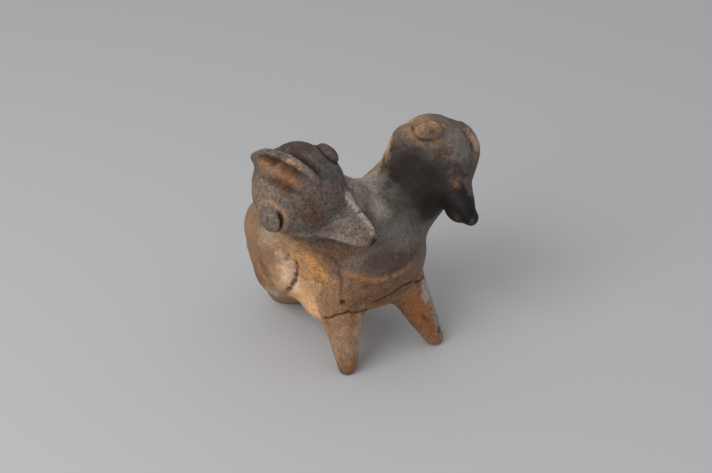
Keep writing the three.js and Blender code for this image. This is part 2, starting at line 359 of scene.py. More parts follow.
# Presses a groove along a line, or with a negative depth raises a ridge
def draw(piece, line, width, depth=0.0, fade=0.2, unsteady=0.35, uneven=0.35, rubs=None):
    places = takeInHand(piece)
    facing = outwards(piece, places)
    laid = layOn(places, line, unsteady)
    near = within(places, laid, width * hand["reach"])
    gap, along = fromLine(places[near], laid)
    size = np.array([
        1 + uneven * noise.noise(Vector(spot) * hand["tremble"]) for spot in places[near]
    ])
    ends = np.clip(np.minimum(along, 1 - along) / fade, 0, 1) ** hand["fadeRound"]
    shape = np.exp(-(gap / (width * hand["groove"])) ** 2)
    places[near] -= facing[near] * (depth * shape * size * ends)[:, None]
    putBack(piece, places)
    for kind, amount in (rubs or {}).items():
        rub(kind, near, amount * np.exp(-(gap / (width * hand["smear"])) ** 4) * size * ends)


# Pushes a dent in at a spot, or with a negative depth raises a bump
def dab(piece, spot, radius, depth, rubs=None):
    places = takeInHand(piece)
    facing = outwards(piece, places)
    near = within(places, [spot], radius * hand["dabReach"])
    shape = np.exp(-(np.linalg.norm(places[near] - np.array(spot), axis=1) / radius) ** 2)
    places[near] -= facing[near] * (depth * shape)[:, None]
    putBack(piece, places)
    for kind, amount in (rubs or {}).items():
        rub(kind, near, amount * shape)


def wobbleByHand(piece, swell):
    places = takeInHand(piece)
    facing = outwards(piece, places)
    finer, finerShare = unevenness["finer"], unevenness["finerShare"]
    heights = swell["height"] * np.array([
        noise.noise(spot) + finerShare * noise.noise(spot * finer)
        for spot in (Vector(place) / swell["width"] for place in places)
    ])
    putBack(piece, places + facing * heights[:, None])


def stayInBox(piece):
    places = takeInHand(piece)
    low, high = (np.array(corner) / mm for corner in cadBox)
    putBack(piece, np.clip(places, low + clay["margin"], high - clay["margin"]))


sides = ("right", "left")
bodyNames = [
    "chamber_partition", "right_body_bowl", "left_body_bowl", "right_neck", "left_neck",
]
limbNames = ["right_head", "left_head", "right_beak", "left_beak", "right_leg", "left_leg"]


def makeMass():
    whole = copyOfNodes(bodyNames + limbNames + ["tail_mouthpiece"], "clayMass", clay["overlap"])
    trim = copyOfNodes(["right_crest", "left_crest"], "trim", clay["overlap"])
    extra = [addLump(name, lump) for name, lump in (lumps | pellets).items()]
    ducts = [ductSlot(side, **voicing["ductFill"]) for side in sides]
    windows = [windowSlot(side, **voicing["windowFill"]) for side in sides]
    whole = merge(whole, trim, addEgg("bodyFiller", egg["filler"]), *extra, *ducts, *windows)
    knead(whole, clay["voxel"])
    smoothClay(whole, clay["evenPasses"])
    smoothClay(whole, clay["creasePasses"], onlyFill=True)
    finishModifier(whole, "DISPLACE", strength=-clay["overlap"] * mm, mid_level=0)
    return whole


# Voicing: windows under the bowls and ducts through the tail, in mm. Fills of clay close them in
# the mass, and openings that reach beyond the clay are cut again in the parted pieces
voicing = {
    "windows": {"right": (-6.55, 3.6, 11.36), "left": (7.44, 3.6, 11.36)},
    "windowFacing": {"right": (-0.415, 0.253, -0.874), "left": (0.415, 0.253, -0.874)},
    "window": (6.5, 5.0),
    "mouths": {"right": (-7.26, 21.17, 2.0), "left": (-1.86, 21.17, 2.0)},
    "duct": (3.8, 2.0),
    "windowDepth": 6.0,
    "ductFill": {"beyond": -1.5, "grow": 0.8},
    "windowFill": {"beyond": 4.0, "grow": 0.6},
    "ductCutter": {"beyond": 3.0, "grow": 2.5},
    "ductOpening": {"beyond": 9.0, "grow": 0.0},
    "windowOpening": {"beyond": 8.0, "grow": 0.0},
}


def windowSlot(side, beyond, grow):
    place = at(voicing["windows"][side])
    facing = Vector(voicing["windowFacing"][side])
    width, height = voicing["window"]
    inside = place - facing * voicing["windowDepth"] * mm
    return addSlot("window", place + facing * beyond * mm, inside, width + grow, height + grow)


def ductSlot(side, beyond, grow):
    start = at(voicing["windows"][side])
    end = at(voicing["mouths"][side])
    end = end + (end - start).normalized() * beyond * mm
    width, height = voicing["duct"]
    return addSlot("duct", start, end, width + grow, height + grow)


# What the potter's fingers and tools, and later wear, left on the clay, with painted shade in some creases
# and painted highlight on some edges
# Each line is laid through spots in mm, with its width and depth; a negative depth is a ridge
lines = [
    # Right head: the crest's edge, the groove below its face, the ledge, and the valley behind it. The
    # light rub on the edge is partly painted highlight, and the dark rub in the groove and the valleys is
    # painted shade
    {"line": [(-26.9, -2.6, 61.0), (-26.5, -5.1, 62.4), (-24.8, -8.2, 63.0), (-23.2, -11.4, 62.8),
              (-21.7, -14.4, 61.4), (-19.8, -16.3, 58.9), (-18.0, -16.8, 56.2)],
     "width": 2.2, "depth": -0.7, "uneven": 0.15},
    {"line": [(-26.9, -2.6, 61.4), (-26.2, -5.0, 62.9), (-24.4, -8.4, 63.1), (-22.8, -11.6, 62.9),
              (-21.4, -14.6, 61.6), (-19.5, -16.4, 59.0), (-17.8, -16.8, 56.2)],
     "width": 1.0, "uneven": 0.8, "rubs": {"wearAndHighlight": 0.15}},
    {"line": [(-27.2, -3.4, 60.0), (-26.8, -5.4, 60.6), (-25.4, -9.9, 60.8), (-23.6, -13.3, 59.8),
              (-21.2, -15.9, 57.8)],
     "width": 2.0, "depth": 0.75, "uneven": 0.12, "rubs": {"grimeAndShade": 0.25, "slip": 0.25}},
    {"line": [(-27.6, -4.0, 58.0), (-26.2, -8.3, 58.6), (-24.4, -12.8, 57.8), (-22.0, -16.0, 56.2)],
     "width": 2.4, "depth": -0.7, "uneven": 0.12, "rubs": {"slip": 0.45}},
    {"line": [(-28.6, -5.6, 56.6), (-27.0, -10.8, 57.0), (-24.6, -14.7, 55.6), (-22.8, -16.4, 54.6)],
     "width": 1.4, "depth": 0.55, "uneven": 0.2, "rubs": {"grimeAndShade": 0.25}},
    {"line": [(-21.9, -5.6, 61.6), (-20.5, -9.6, 61.6), (-18.6, -12.6, 60.4), (-17.3, -14.6, 58.2),
              (-17.0, -15.9, 56.6)],
     "width": 1.8, "depth": 0.8, "uneven": 0.2, "rubs": {"grimeAndShade": 0.6}},
    # Beak ridge, worn light and partly a painted highlight, the jaw's edge with a painted highlight along
    # it, and the hollow under it with painted shadow
    {"line": [(-11.2, -15.9, 51.9), (-10.5, -17.2, 49.4), (-8.9, -18.8, 47.3), (-8.0, -21.6, 44.2),
              (-7.8, -23.2, 42.2)],
     "width": 2.0, "depth": -0.55, "uneven": 0.3, "rubs": {"wearAndHighlight": 1.0}},
    {"line": [(-27.2, -12.0, 44.0), (-24.6, -15.2, 43.2), (-20.6, -18.2, 42.2), (-14.0, -20.8, 41.0),
              (-9.0, -23.2, 40.2)],
     "width": 2.0, "depth": -0.6, "uneven": 0.15, "rubs": {"wearAndHighlight": 0.25}},
    {"line": [(-24.8, -8.6, 41.6), (-22.3, -12.8, 40.8), (-18.2, -15.2, 39.6), (-14.0, -17.0, 39.2)],
     "width": 2.4, "depth": 0.6, "uneven": 0.15, "rubs": {"grimeAndShade": 0.35}},
    {"line": [(-12.0, -15.6, 52.6), (-10.8, -16.3, 50.8), (-10.5, -17.2, 49.4), (-8.9, -18.4, 47.5)],
     "width": 2.4, "uneven": 0.8, "rubs": {"wearAndHighlight": 0.8}},
    # Crack over the right leg, its upright crease, and the cracks over the left leg
    {"line": [(-17.0, -12.6, 16.0), (-16.4, -14.8, 17.2), (-14.9, -17.2, 19.0), (-12.6, -18.6, 19.8),
              (-10.0, -18.9, 18.9), (-7.2, -17.6, 17.6), (-5.6, -15.6, 16.4)],
     "width": 0.55, "depth": 0.45, "fade": 0.05, "rubs": {"grimeAndShade": 0.75}},
    {"line": [(-15.8, -13.4, 36.4), (-13.6, -14.2, 33.4), (-12.4, -14.9, 30.8), (-12.4, -15.8, 26.9),
              (-13.6, -17.8, 22.4)],
     "width": 0.9, "depth": 0.3, "unsteady": 0.6, "rubs": {"grimeAndShade": 0.4}},
    {"line": [(-5.6, -18.2, 19.0), (-3.7, -19.5, 20.4), (-2.2, -20.3, 21.3), (0.6, -21.1, 22.7),
              (3.2, -20.9, 22.9), (6.5, -19.5, 22.1)],
     "width": 0.85, "depth": 0.7, "fade": 0.1, "rubs": {"grimeAndShade": 0.8}},
    {"line": [(7.6, -18.8, 21.0), (9.8, -17.6, 19.5), (11.2, -17.0, 20.0), (12.6, -16.2, 19.2)],
     "width": 0.6, "depth": 0.4, "fade": 0.1, "rubs": {"grimeAndShade": 0.9}},
    {"line": [(9.6, -19.4, 11.0), (10.4, -20.0, 9.4), (11.4, -20.6, 7.8)],
     "width": 0.9, "depth": 0.25, "unsteady": 0.6, "rubs": {"grimeAndShade": 0.6}},
    # Seam of the tail: a ragged pale rim with a crevice beyond it, round to the lower edge
    {"line": [(-19.3, -5.6, 30.6), (-18.0, -3.6, 27.6), (-16.2, -1.0, 23.1), (-15.6, 0.9, 19.8),
              (-15.8, 2.0, 17.4), (-14.6, 6.6, 12.4)],
     "width": 1.3, "depth": 0.6, "uneven": 0.9, "rubs": {"grimeAndShade": 0.65}},
    {"line": [(-18.4, -2.6, 30.2), (-17.2, 0.6, 26.0), (-16.0, 2.4, 21.3), (-16.2, 5.6, 15.4),
              (-13.4, 12.4, 9.0), (-12.3, 17.0, 7.6)],
     "width": 2.4, "depth": -0.3, "uneven": 0.6, "rubs": {"wearAndHighlight": 0.4}},
    # Oval hollow pressed into the tail's side, with painted shadow along its edge
    {"line": [(-17.9, 1.4, 31.4), (-18.6, -0.6, 29.6), (-17.6, 0.6, 26.8), (-17.4, 3.2, 24.8)],
     "width": 1.1, "depth": 0.4, "rubs": {"grimeAndShade": 0.25}},
    # Step where the neck was luted over the bowl, and pale smears of slip down the flank, lightened
    # further by painted highlight
    {"line": [(-14.5, -13.8, 31.6), (-11.8, -16.6, 29.4), (-7.2, -20.1, 27.6), (-1.1, -22.0, 28.1),
              (5.6, -21.2, 29.2)],
     "width": 1.5, "depth": -0.3, "uneven": 0.4, "rubs": {"slip": 0.85}},
    {"line": [(-22.6, -4.8, 37.8), (-21.7, -8.0, 36.4), (-19.7, -8.0, 33.0), (-17.6, -7.0, 28.6),
              (-16.2, -6.6, 24.0)],
     "width": 2.6, "depth": -0.25, "uneven": 0.5, "rubs": {"slip": 0.5, "wearAndHighlight": 0.35}},
    # Left head: the crest's edge and the crevice before it
    {"line": [(26.6, -5.6, 56.2), (29.9, -8.9, 54.4), (30.2, -12.4, 53.0), (29.0, -15.4, 51.0),
              (27.0, -17.2, 49.6)],
     "width": 2.6, "depth": -0.5, "uneven": 0.25},
    {"line": [(24.6, -8.6, 56.6), (27.2, -12.2, 54.4), (27.4, -14.8, 52.2), (26.2, -17.0, 50.2)],
     "width": 1.4, "depth": 0.55, "uneven": 0.25, "rubs": {"grimeAndShade": 0.6}},
]
# Creases round part of each pellet: from and to are degrees round its facing. The dark rub in the first
# crease round rightOuter and in the crease round rightInner is painted shadow, a dark crescent beside each
# pellet
creases = [
    {"pellet": "rightOuter", "from": -100, "to": 60, "width": 0.9, "depth": 0.9, "rubs": {"grimeAndShade": 0.9}},
    {"pellet": "rightOuter", "from": 60, "to": 260, "width": 1.0, "depth": 0.25},
    {"pellet": "rightOuter", "from": -120, "to": 190, "width": 1.2, "out": 1.32, "depth": -0.3,
     "rubs": {"slip": 0.8, "wearAndHighlight": 0.2}},
    {"pellet": "rightInner", "from": 50, "to": 290, "width": 0.9, "depth": 0.8, "rubs": {"grimeAndShade": 1.0}},
    {"pellet": "leftInner", "from": 0, "to": 350, "width": 0.8, "depth": 0.5, "rubs": {"grimeAndShade": 0.6}},
    {"pellet": "leftInner", "from": 150, "to": 360, "width": 2.0, "out": 1.2, "rubs": {"slip": 0.5}},
    {"pellet": "leftOuter", "from": 0, "to": 350, "width": 0.9, "depth": 0.4, "rubs": {"grimeAndShade": 0.5}},
]
dabs = [
    # Chips in the left head's pellet
    {"spot": (17.0, -12.4, 58.4), "radius": 0.9, "depth": 0.5, "rubs": {"grimeAndShade": 0.6}},
    {"spot": (15.4, -10.6, 58.8), "radius": 0.7, "depth": 0.3},
    {"spot": (18.8, -10.2, 58.9), "radius": 0.8, "depth": -0.3, "rubs": {"wearAndHighlight": 0.8}},
    # Dents on the left head, chips on the tips, the pit over the right leg
    {"spot": (12.9, -4.1, 52.6), "radius": 0.8, "depth": 0.45, "rubs": {"grimeAndShade": 0.5}},
    {"spot": (10.4, -5.4, 50.3), "radius": 0.6, "depth": 0.4, "rubs": {"grimeAndShade": 0.7}},
    {"spot": (-8.5, -23.8, 40.8), "radius": 1.1, "depth": 0.5, "rubs": {"grimeAndShade": 1.0}},
    {"spot": (-13.6, -17.8, 22.4), "radius": 0.7, "depth": 0.8, "rubs": {"grimeAndShade": 0.9}},
    {"spot": (-11.4, -15.4, 1.6), "radius": 1.3, "depth": 0.5, "rubs": {"grimeAndShade": 0.5}},
    {"spot": (-14.6, -16.4, 3.2), "radius": 1.0, "depth": 0.4, "rubs": {"wearAndHighlight": 0.4}},
    {"spot": (-18.6, 2.6, 28.4), "radius": 3.4, "depth": 0.4},
]


# Round the pellet's rim, a little outside it and not quite as high as its top
def creaseLine(crease):
    pellet = pellets[crease["pellet"]]
    facing = Vector(pellet["facing"]).to_track_quat("Z", "Y")
    across, up, rise = pellet["half"]
    out = crease.get("out", 1.05)
    line = []
    for degree in range(crease["from"], crease["to"] + 1, 20):
        turn = radians(degree)
        offset = Vector((across * out * cos(turn), up * out * sin(turn), rise * 0.3))
        line.append(tuple(Vector(pellet["where"]) + facing @ offset))
    return line


# What the clay's shape alone gives: full is the hollow in mm that counts as fully hollow, and each kind
# starts at a share of it and stops at its most. Hollows are darkened as painted shade, and raised edges
# are lightened as wear with painted highlight
byShape = {
    "full": 0.02, "spreadPasses": 8,
    "hollowShadeFrom": 0.25, "hollowShadeMost": 0.7, "edgeWearAndHighlightFrom": 0.5, "edgeWearAndHighlightMost": 0.25,
}


# Painted shade darkens the clay where it is hollow, and wear with painted highlight lightens its raised
# edges
def shadeHollowsLightenEdges():
    places = takeInHand(mass)
    facing = outwards(mass, places)
    ends = neighbours(mass)
    hollow = (pullToNeighbours(places, ends) * facing).sum(1)
    for _ in range(byShape["spreadPasses"]):
        hollow = hollow + pullToNeighbours(np.repeat(hollow[:, None], 3, 1), ends)[:, 0]
    everywhere = np.arange(len(places))
    filled = hollow / byShape["full"]
    rub("grimeAndShade", everywhere, np.clip(filled - byShape["hollowShadeFrom"], 0, byShape["hollowShadeMost"]))
    rub("wearAndHighlight", everywhere, np.clip(-filled - byShape["edgeWearAndHighlightFrom"], 0, byShape["edgeWearAndHighlightMost"]))


def keepRubs(piece):
    for kind, amount in rubbed.items():
        layer = piece.data.attributes.new(kind, "FLOAT", "POINT")
        layer.data.foreach_set("value", amount)


def workMass():
    wobbleByHand(mass, unevenness["swells"])
    smoothClay(mass, clay["lastPasses"])
    for mark in lines:
        draw(mass, **mark)
    for crease in creases:
        draw(mass, creaseLine(crease), crease["width"], crease.get("depth", 0.0), unsteady=0.2,
             rubs=crease.get("rubs"))
    for mark in dabs:
        dab(mass, **mark)
    wobbleByHand(mass, unevenness["ripples"])
    shadeHollowsLightenEdges()
    keepRubs(mass)
    stayInBox(mass)


mass = makeMass()
print("clay mass kneaded:", len(mass.data.vertices))
rubbed = {kind: np.zeros(len(mass.data.vertices)) for kind in ("slip", "wearAndHighlight", "grimeAndShade")}
workMass()
print("clay mass worked")

# Where the forms part from each other: a spot on the cut in mm, and the way to the limb
legSeams = {
    "right": {"where": (-11.2, -14.6, 15.4), "way": (-0.08, -0.36, -0.93)},
    "left": {"where": (10.4, -14.6, 15.0), "way": (0.3, -0.45, -0.84)},
}
# How each neck splays and leans and each beak turns and drops, in degrees; out is the side's sign
heads = {
    "right": {"out": -1, "splay": 34.0, "lean": 9.5, "turn": 36.0, "drop": 29.0},
    "left": {"out": 1, "splay": 39.5, "lean": 11.8, "turn": 8.0, "drop": 26.0},
}
# Tapered cutters that hold a limb, in mm; a beak's and a head's cut are this far from the head
limbCutters = {
    "Leg": {"radius": 8.2, "endRadius": 7.4, "length": 20.0},
    "Beak": {"cut": 11.0, "radius": 7.6, "endRadius": 3.6, "length": 14.0},
    "Head": {"cut": -6.0, "radius": 15.0, "endRadius": 15.0, "length": 30.0},
}
# How much larger than its form each other cutter is, how finely it is kneaded, how far below the
# partition's top the necks start, and how large a block fills one side of a cut, in mm
cutters = {
    "crest": 1.2, "crestVoxel": 0.3, "pellet": 0.35,
    "core": 0.2, "tail": 1.6, "tailLumps": 1.5, "tailVoxel": 0.5, "underTop": 0.5, "block": 150.0,
}


def neckWay(side):
    splay, lean = radians(heads[side]["splay"]), radians(heads[side]["lean"])
    out = heads[side]["out"]
    return Vector((out * sin(splay) * cos(lean), -sin(lean), cos(splay) * cos(lean)))


def beakWay(side):
    turn, drop = radians(heads[side]["turn"]), radians(heads[side]["drop"])
    out = heads[side]["out"]
    return Vector((-out * sin(turn) * cos(drop), -cos(turn) * cos(drop), -sin(drop)))


def copyOf(whole, name):
    piece = bpy.data.objects.new(name, whole.data.copy())
    piece.data.name = name
    bpy.context.scene.collection.objects.link(piece)
    return piece


# Cuts a limb off where it was luted on: a tapered cutter starts at the cut and holds the limb
def partOff(whole, side, limb, where, way):
    size = limbCutters[limb]
    deselectAll()
    bpy.ops.mesh.primitive_cone_add(
        vertices=64, radius1=size["radius"] * mm, radius2=size["endRadius"] * mm,
        depth=size["length"] * mm, location=where + way.normalized() * size["length"] / 2 * mm,
        rotation=way.to_track_quat("Z", "Y").to_euler(),
    )
    cutter = bpy.context.object
    settle(cutter)
    name = side + limb
    pieces[name] = copyOf(whole, name)
    keepInside(pieces[name], copyOf(cutter, "second"))
    cutOut(whole, cutter)


# A large block that fills the space on one side of a plane
def spaceBeyond(where, way):
    size = cutters["block"] * mm
    deselectAll()
    bpy.ops.mesh.primitive_cube_add(
        size=size, location=where + way.normalized() * size / 2,
        rotation=way.to_track_quat("Z", "Y").to_euler(),
    )
    settle(bpy.context.object)
    return bpy.context.object


def shareOf(whole, name, *planes):
    piece = copyOf(whole, name)
    for where, way in planes:
        keepInside(piece, spaceBeyond(where, way))
    return piece


# Parts a pressed-on form off, held by a cutter that is a little larger
def partTrim(whole, name, node, makeCutter, form):
    piece = copyOf(whole, name)
    keepInside(piece, makeCutter(form))
    cutOut(whole, makeCutter(form))
    pieces[name] = piece
    replaced[name] = node


def crestCutter(side):
    cutter = copyOfNodes([side + "_crest"], "cutter", cutters["crest"])
    knead(cutter, cutters["crestVoxel"])
    return cutter


def pelletCutter(name):
    pellet = pellets[name]
    return addLump("cutter", pellet | {"half": [size + cutters["pellet"] for size in pellet["half"]]})


# The tail is what lies outside the body's own forms and near the tail's node
def partTail(whole):
    core = copyOfNodes(bodyNames, "core", cutters["core"])
    core = merge(core, addEgg("coreFiller", egg["filler"]))
    knead(core, cutters["tailVoxel"])
    cutter = copyOfNodes(["tail_mouthpiece"], "cutter", cutters["tail"])
    for lump in ("tailTop", "tailLow"):
        spread = [half + cutters["tailLumps"] for half in lumps[lump]["half"]]
        cutter = merge(cutter, addLump("cutterLump", lumps[lump] | {"half": spread}))
    for side in sides:
        cutter = merge(cutter, ductSlot(side, **voicing["ductCutter"]))
    knead(cutter, cutters["tailVoxel"])
    cutOut(cutter, core)
    second = copyOf(cutter, "second")
    piece = copyOf(whole, "tailMouthpiece")
    keepInside(piece, cutter)
    cutOut(whole, second)
    for side in sides:
        cutOut(piece, ductSlot(side, **voicing["ductOpening"]))
        cutOut(piece, windowSlot(side, **voicing["windowOpening"]))
    pieces["tailMouthpiece"] = piece
    replaced["tailMouthpiece"] = "tail_mouthpiece"


def partTrims():
    for side in sides:
        partTrim(mass, side + "Crest", side + "_crest", crestCutter, side)
        for place in ("Outer", "Inner"):
            node = side + "_head_" + place.lower() + "_eye"
            partTrim(mass, side + "Head" + place + "Eye", node, pelletCutter, side + place)


def partLimbs():
    for side, seam in legSeams.items():
        head = middle(side + "_head")
        beakSeam = head + beakWay(side) * limbCutters["Beak"]["cut"] * mm
        headSeam = head + neckWay(side) * limbCutters["Head"]["cut"] * mm
        partOff(mass, side, "Leg", at(seam["where"]), Vector(seam["way"]))
        partOff(mass, side, "Beak", beakSeam, beakWay(side))
        partOff(mass, side, "Head", headSeam, neckWay(side))


# The necks start where the bowls end, each bowl ends at its side of the partition
def partBody():
    top = Vector((eggMiddle.x, eggMiddle.y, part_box("chamber_partition")[1].z - cutters["underTop"] * mm))
    underNecks = []
    for side in sides:
        out = Vector((heads[side]["out"], 0, 0))
        splay = radians(heads[side]["splay"])
        roof = out * sin(splay) + Vector((0, 0, cos(splay)))
        pieces[side + "Neck"] = shareOf(mass, side + "Neck", (top, roof), (eggMiddle, out))
        underNecks.append((top, -roof))
    body = shareOf(mass, "body", *underNecks)
    wallFaces = []
    for side in sides:
        out = Vector((heads[side]["out"], 0, 0))
        face = eggMiddle + out * egg["partition"] / 2 * mm
        pieces[side + "BodyBowl"] = shareOf(body, side + "BodyBowl", (face, out))
        wallFaces.append((face, -out))
    pieces["chamberPartition"] = shareOf(body, "chamberPartition", *wallFaces)
    throwAway(body, mass)
    for side in sides:
        cutOut(pieces[side + "BodyBowl"], addEgg("chamber", egg["chamber"]))
        cutOut(pieces[side + "BodyBowl"], windowSlot(side, **voicing["windowOpening"]))


pieces = {}
replaced = {"chamberPartition": "chamber_partition"}
for side in sides:
    replaced[side + "BodyBowl"] = side + "_body_bowl"
    for form in ("Leg", "Neck", "Head", "Beak"):
        replaced[side + form] = side + "_" + form.lower()
partTrims()
partTail(mass)
partLimbs()
partBody()
print("forms parted and chambers hollowed:", len(pieces))


# Materials
def linear(colour):
    parts = [int(colour[i:i + 2], 16) / 255 for i in (1, 3, 5)]
    return [c / 12.92 if c <= 0.04045 else ((c + 0.055) / 1.055) ** 2.4 for c in parts] + [1]


def fill(tree, sockets, values):
    for socket, value in zip(sockets, values):
        if isinstance(value, bpy.types.NodeSocket):
            tree.links.new(value, socket)
        else:
            socket.default_value = value


def addNode(tree, kind, inputs=None, **settings):
    node = tree.nodes.new(kind)
    for name, value in settings.items():
        setattr(node, name, value)
    inputs = inputs or {}
    fill(tree, [node.inputs[name] for name in inputs], inputs.values())
    return node


# Fire clouds, with some painted shade under the left beak: where the kiln smoke or flame coloured the
# clay, with the half sizes of each in mm
base = "#946f50"
clouds = [
    # Smoke over the upper body, necks and heads
    {"where": (0, -8, 52), "half": (44, 26, 17), "colour": "#5f554e"},
    {"where": (-2, -18, 35), "half": (15, 9, 9), "colour": "#67615c"},
    {"where": (9, -15, 32), "half": (9, 8, 7), "colour": "#6b655f"},
    {"where": (1.5, -7.5, 44), "half": (6, 8, 6), "colour": "#9d968b"},
    {"where": (7.8, -10.8, 44), "half": (4.4, 5.5, 5.5), "colour": "#453e39", "much": 0.7, "soft": 0.6},
    {"where": (-1.5, -21.5, 31), "half": (9.5, 4, 4.2), "colour": "#4f4137", "much": 0.85},
    {"where": (-14, -15.5, 36), "half": (8, 4, 3.6), "colour": "#7d5f48", "much": 0.85},
    {"where": (-9.3, -18.9, 28), "half": (3.8, 3, 2.6), "colour": "#6e4a34", "much": 0.65},
    # Tail
    {"where": (-12, 12, 22), "half": (18, 18, 22), "colour": "#96775a", "much": 0.8},
    {"where": (-14.6, 17.6, 13), "half": (4.2, 4.8, 5), "colour": "#76523b", "much": 0.8},
    {"where": (-18, 11, 35), "half": (6, 8, 6), "colour": "#7b6750", "much": 0.8},
    {"where": (-12.3, 17.8, 6.6), "half": (3, 5, 2.6), "colour": "#8b8074", "much": 0.7},
    {"where": (-18.3, 10.9, 18.4), "half": (3, 3.6, 3.4), "colour": "#7c5335", "much": 0.8},
    {"where": (-15.3, 12.3, 9), "half": (3.4, 4.4, 3), "colour": "#a1978a", "much": 0.85},
    {"where": (-19.6, 7, 30), "half": (3, 4.4, 3), "colour": "#a2917b", "much": 0.6},
    {"where": (-20, 13, 25), "half": (2.4, 2.6, 3.6), "colour": "#7d6650", "much": 0.5},
    # Flank and belly
    {"where": (-18.5, -7, 31), "half": (5, 7, 7.5), "colour": "#d79c60"},
    {"where": (-14.5, -3, 17), "half": (5, 10, 8), "colour": "#d8a97d", "much": 0.9},
    {"where": (-22, -8, 38.5), "half": (4, 5, 3.6), "colour": "#b98b60", "much": 0.8},
    {"where": (-16.6, 1, 22.6), "half": (2.4, 2.8, 5.8), "colour": "#dcb797", "much": 0.85},
    {"where": (-13, -16, 24), "half": (5, 5, 5), "colour": "#87674e", "much": 0.7},
    {"where": (-2, -19, 23), "half": (12, 5, 5), "colour": "#6d4f3a", "much": 0.75},
    # Right head
    {"where": (-19, -5, 62.5), "half": (6, 6, 3.4), "colour": "#463c35", "much": 0.9},
    {"where": (-29, -8, 54), "half": (4, 5, 4), "colour": "#7b6858", "much": 0.8},
    {"where": (-25.0, -10.5, 60.4), "half": (3, 7, 1.8), "colour": "#a4734f", "much": 0.85},
    {"where": (-25.5, -7, 62.7), "half": (2.6, 5.4, 1.6), "colour": "#463d36", "much": 0.85},
    {"where": (-26.0, -10.4, 57.5), "half": (3, 6.4, 2.3), "colour": "#613e28", "much": 0.75},
    {"where": (-21.8, -17.9, 50.6), "half": (2.8, 2.2, 2.6), "colour": "#553523", "much": 0.65},
    {"where": (-14.2, -12, 56.5), "half": (3, 4, 3.6), "colour": "#4c4f50", "much": 0.8},
    {"where": (-10.8, -7.6, 58), "half": (4.4, 4, 3.2), "colour": "#5a5047", "much": 0.8},
    {"where": (-6, -10.5, 48.5), "half": (5, 5, 4.4), "colour": "#999087", "much": 0.8},
    # A pale spot on the beak ridge: wear and painted highlight
    {"where": (-10, -17.8, 48.7), "half": (1.5, 2.2, 3.2), "colour": "#beb5aa", "much": 0.8, "soft": 0.5},
    {"where": (-13.5, -20, 45.5), "half": (6, 4, 3.6), "colour": "#7d7168", "much": 0.7},
    {"where": (-8.1, -23.6, 41), "half": (1.7, 1.5, 1.4), "colour": "#2c2421"},
    {"where": (-30.4, -12.2, 48.2), "half": (3, 3, 3), "colour": "#76695c", "much": 0.8},
    # Left head
    {"where": (13, 3.4, 54), "half": (13, 9, 14), "colour": "#a98a66", "much": 0.95},
    {"where": (16.5, -9.4, 60), "half": (6.5, 5.2, 3.2), "colour": "#9c7c58", "much": 0.85},
    # Down the front and inner side of the left neck, under the beak: smoke and painted shade
    {"where": (14.5, -16.5, 46.5), "half": (9.5, 7, 8.5), "colour": "#24201e", "much": 0.95, "soft": 0.6},
    {"where": (11.8, -12.2, 48.8), "half": (5.2, 6.4, 6), "colour": "#282321", "much": 0.85, "soft": 0.5},
    {"where": (23.5, -14.5, 52.5), "half": (6, 6, 6), "colour": "#746c65", "much": 0.75},
    # Under the left beak's root: smoke and painted shade
    {"where": (14.6, -17.2, 39.5), "half": (5.4, 4.5, 5), "colour": "#221c1a", "much": 0.9, "soft": 0.5},
    {"where": (8.2, -9.6, 50.6), "half": (3.2, 4, 4.6), "colour": "#2c2724", "much": 0.8, "soft": 0.5},
    {"where": (16.8, -12.4, 58.4), "half": (2.4, 1.6, 1.6), "colour": "#6f5138", "much": 0.7},
    {"where": (18.4, -16.6, 53.7), "half": (2.2, 1.8, 2.2), "colour": "#5f3f2c", "much": 0.65},
    {"where": (29, -14, 51.8), "half": (2.8, 3.8, 3), "colour": "#998270", "much": 0.75},
    {"where": (18, -22, 42.6), "half": (5.4, 5.4, 5), "colour": "#1f1a18"},
    {"where": (18.4, -19.9, 47.4), "half": (1.3, 1.4, 1.9), "colour": "#74543d", "much": 0.7},
    {"where": (21.9, -21.4, 45), "half": (1.3, 2.5, 4.6), "colour": "#605b55", "much": 0.6},
    {"where": (19, -26.2, 39.4), "half": (4, 3.4, 4), "colour": "#12100f"},
    {"where": (8.4, -3.2, 53.5), "half": (2.7, 3.2, 5), "colour": "#a98a66", "much": 0.9},
    # Legs
    {"where": (-13, -17, 10), "half": (5, 4, 6), "colour": "#a08369", "much": 0.8},
    {"where": (-13.5, -18.4, 7.5), "half": (2.2, 2, 3), "colour": "#7d5b42", "much": 0.55},
    {"where": (-8.9, -18, 11.5), "half": (2.2, 3, 7.5), "colour": "#a8937f", "much": 0.8},
    {"where": (-12.5, -16.5, 1.6), "half": (4, 4, 2.6), "colour": "#694731", "much": 0.85},
    {"where": (10.5, -18, 12), "half": (5, 5, 8), "colour": "#8f5d38", "much": 0.9},
    {"where": (12.9, -17.6, 16.5), "half": (2.8, 2.8, 5), "colour": "#a39e97", "much": 0.9},
    {"where": (11.5, -20.7, 5), "half": (3, 2, 3.4), "colour": "#7a4e33", "much": 0.6},
    {"where": (15.1, -19.9, 8.5), "half": (2.7, 2.5, 7), "colour": "#928c85", "much": 0.85},
    {"where": (14.2, -21.2, 6), "half": (1.1, 1.3, 2.2), "colour": "#33271f", "much": 0.7},
    {"where": (14.5, -20.5, 1.6), "half": (3, 3, 2.4), "colour": "#856552", "much": 0.7},
]
# Where the clay was burnished smoothest, so its grit shows least
burnished = [
    {"where": (-12, 14, 22), "half": (14, 14, 18), "much": 0.6},
    {"where": (4, -14, 34), "half": (15, 14, 12), "much": 0.4},
    {"where": (17, -9, 51), "half": (13, 13, 13), "much": 0.3},
    {"where": (-16, -6, 25), "half": (8, 12, 14), "much": 0.4},
    {"where": (0, -17, 10), "half": (19, 8, 11), "much": 0.45},
]
